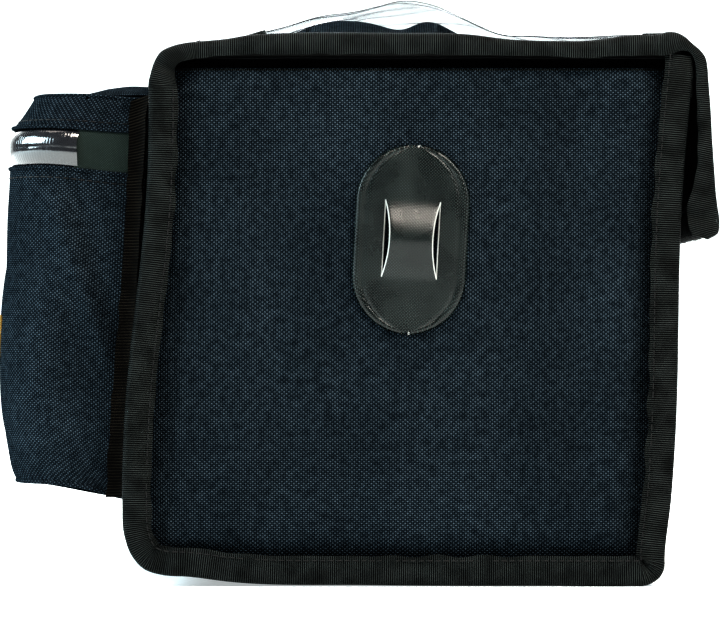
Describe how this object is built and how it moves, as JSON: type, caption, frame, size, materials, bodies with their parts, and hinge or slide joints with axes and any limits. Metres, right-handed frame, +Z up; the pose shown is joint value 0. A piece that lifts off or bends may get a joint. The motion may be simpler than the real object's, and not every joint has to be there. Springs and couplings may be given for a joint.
{
  "type": "handlebar bag",
  "caption": "Soft box-shaped bag with a fold-up lid, hanging rear flap, clear map sleeve on the lid, zipped front pocket and lash patches on its sides.",
  "frame": {"origin": "centre of the base panel's underside, on the surface the bag stands on", "axes": "+Z up, +X towards the rear flap, -X towards the zipped pocket, Y across the bag with the bag's left side at -Y"},
  "size_m": [0.2946, 0.2744, 0.235],
  "materials": {
    "bag_fabric": "coated plain-weave nylon, slight sheen",
    "binding_tape": "ribbed grosgrain, matte",
    "patch_fabric": "rubber-coated fabric, satin",
    "lining_fabric": "light plain-weave polyester",
    "coated_zip": "polyurethane-coated zip tape, glossy",
    "zip_coil": "nylon coil",
    "hook_and_loop": "hook and loop",
    "label_weave": "woven label, blank",
    "slider_metal": "black painted zinc",
    "stiffener_board": "polypropylene sheet",
    "foam": "closed-cell foam",
    "clear_film": "clear vinyl, glossy"
  },
  "bodies": {
    "tub": {"base_panel": "bag_fabric", "front_panel": "bag_fabric", "back_panel": "bag_fabric", "left_side_panel": "bag_fabric", "right_side_panel": "bag_fabric", "base_board": "stiffener_board", "front_board": "stiffener_board", "back_board": "stiffener_board", "left_side_foam": "foam", "right_side_foam": "foam", "main_lining": "lining_fabric", "left_seam_binding": "binding_tape", "right_seam_binding": "binding_tape", "left_mouth_binding": "binding_tape", "right_mouth_binding": "binding_tape", "back_mouth_binding": "binding_tape", "closure_loop_strip": "hook_and_loop", "left_lash_patch": "patch_fabric", "right_lash_patch": "patch_fabric", "pocket_wrap": "bag_fabric", "pocket_base": "bag_fabric", "pocket_hood_band": "bag_fabric", "pocket_top_panel": "bag_fabric", "zip_lower_tape": "coated_zip", "zip_upper_tape": "coated_zip", "zip_lower_coil": "zip_coil", "zip_upper_coil": "zip_coil", "left_zip_end_tab": "patch_fabric", "right_zip_garage": "patch_fabric", "left_pocket_edge_tape": "binding_tape", "right_pocket_edge_tape": "binding_tape", "front_label": "label_weave", "lid_fold": "bag_fabric"},
    "zip_slider": {"zip_slider": "slider_metal"},
    "zip_pull": {"zip_pull": "slider_metal"},
    "lid": {"lid_panel": "bag_fabric", "lid_board": "stiffener_board", "lid_lining": "lining_fabric", "left_lid_binding": "binding_tape", "right_lid_binding": "binding_tape", "flap_fold": "bag_fabric", "map_window": "clear_film", "map_front_tape": "binding_tape", "map_rear_tape": "binding_tape"},
    "flap": {"flap_panel": "bag_fabric", "flap_board": "stiffener_board", "flap_lining": "lining_fabric", "flap_binding": "binding_tape", "closure_hook_strip": "hook_and_loop"}
  },
  "joints": [
    {"name": "lid_hinge", "type": "hinge", "parent": "tub", "child": "lid", "pos_m": [-0.0951, 0, 0.2104], "axis": [0, -1, 0], "range_deg": [0, 165]},
    {"name": "flap_hinge", "type": "hinge", "parent": "lid", "child": "flap", "pos_m": [0.1236, 0, 0.2125], "axis": [0, -1, 0], "range_deg": [0, 120]},
    {"name": "zip_slide", "type": "slide", "parent": "tub", "child": "zip_slider", "axis": [0, -1, 0], "range_m": [0, 0.144]},
    {"name": "pull_hinge", "type": "hinge", "parent": "zip_slider", "child": "zip_pull", "pos_m": [-0.1613, 0.07, 0.1765], "axis": [0, 1, 0], "range_deg": [0, 150]}
  ]
}
